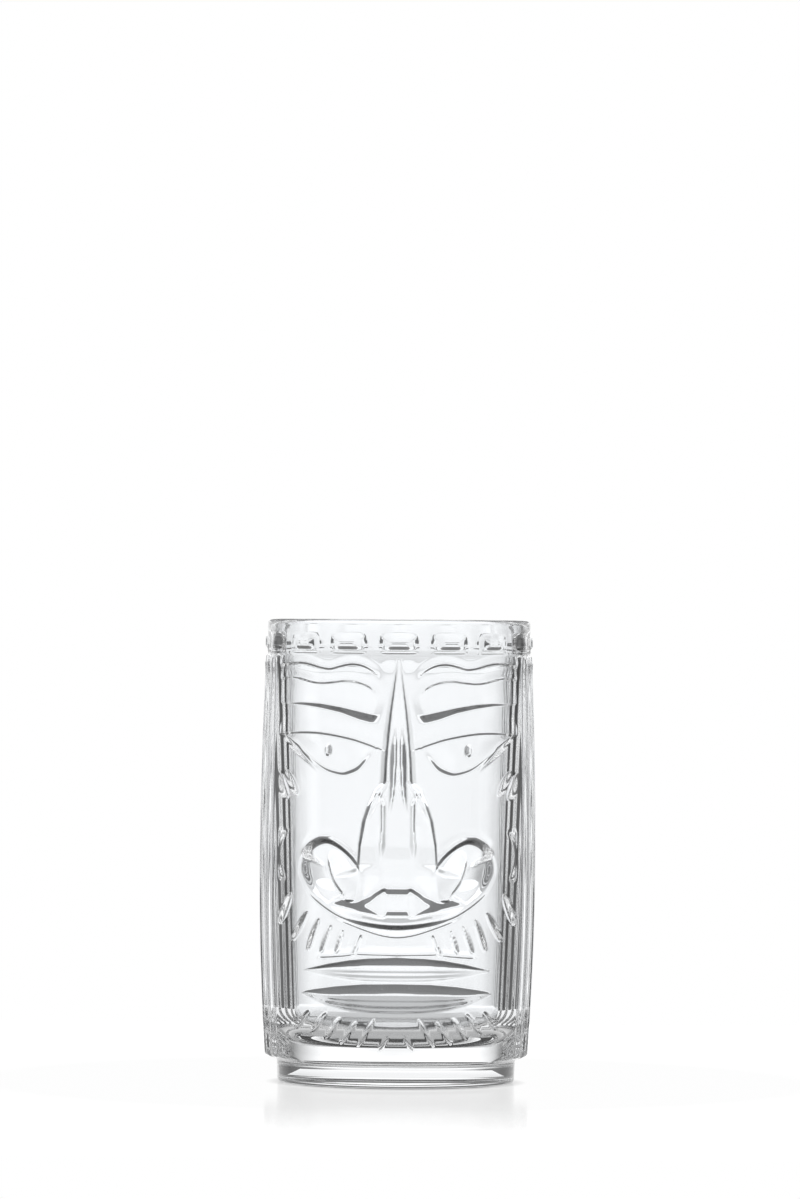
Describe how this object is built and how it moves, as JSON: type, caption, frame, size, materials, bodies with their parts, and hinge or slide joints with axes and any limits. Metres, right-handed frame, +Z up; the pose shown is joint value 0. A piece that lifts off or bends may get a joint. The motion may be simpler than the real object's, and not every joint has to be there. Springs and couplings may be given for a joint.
{
  "type": "tiki tumbler",
  "caption": "Clear pressed-glass tumbler, slightly barrel-shaped, with a stylised tiki face in relief, ribbed flanks, a headband of bevelled blocks and a narrower thick foot.",
  "frame": {"origin": "on the tumbler's axis, in the plane of the foot ring that it stands on", "axes": "+Z up along the tumbler's axis, -Y out of the face, +X to the right of a viewer who looks at the face"},
  "size_m": [0.0818, 0.0805, 0.137],
  "materials": {
    "clear_glass": "clear, fire-polished"
  },
  "bodies": {
    "root": {"tumbler": "clear_glass"}
  },
  "joints": []
}
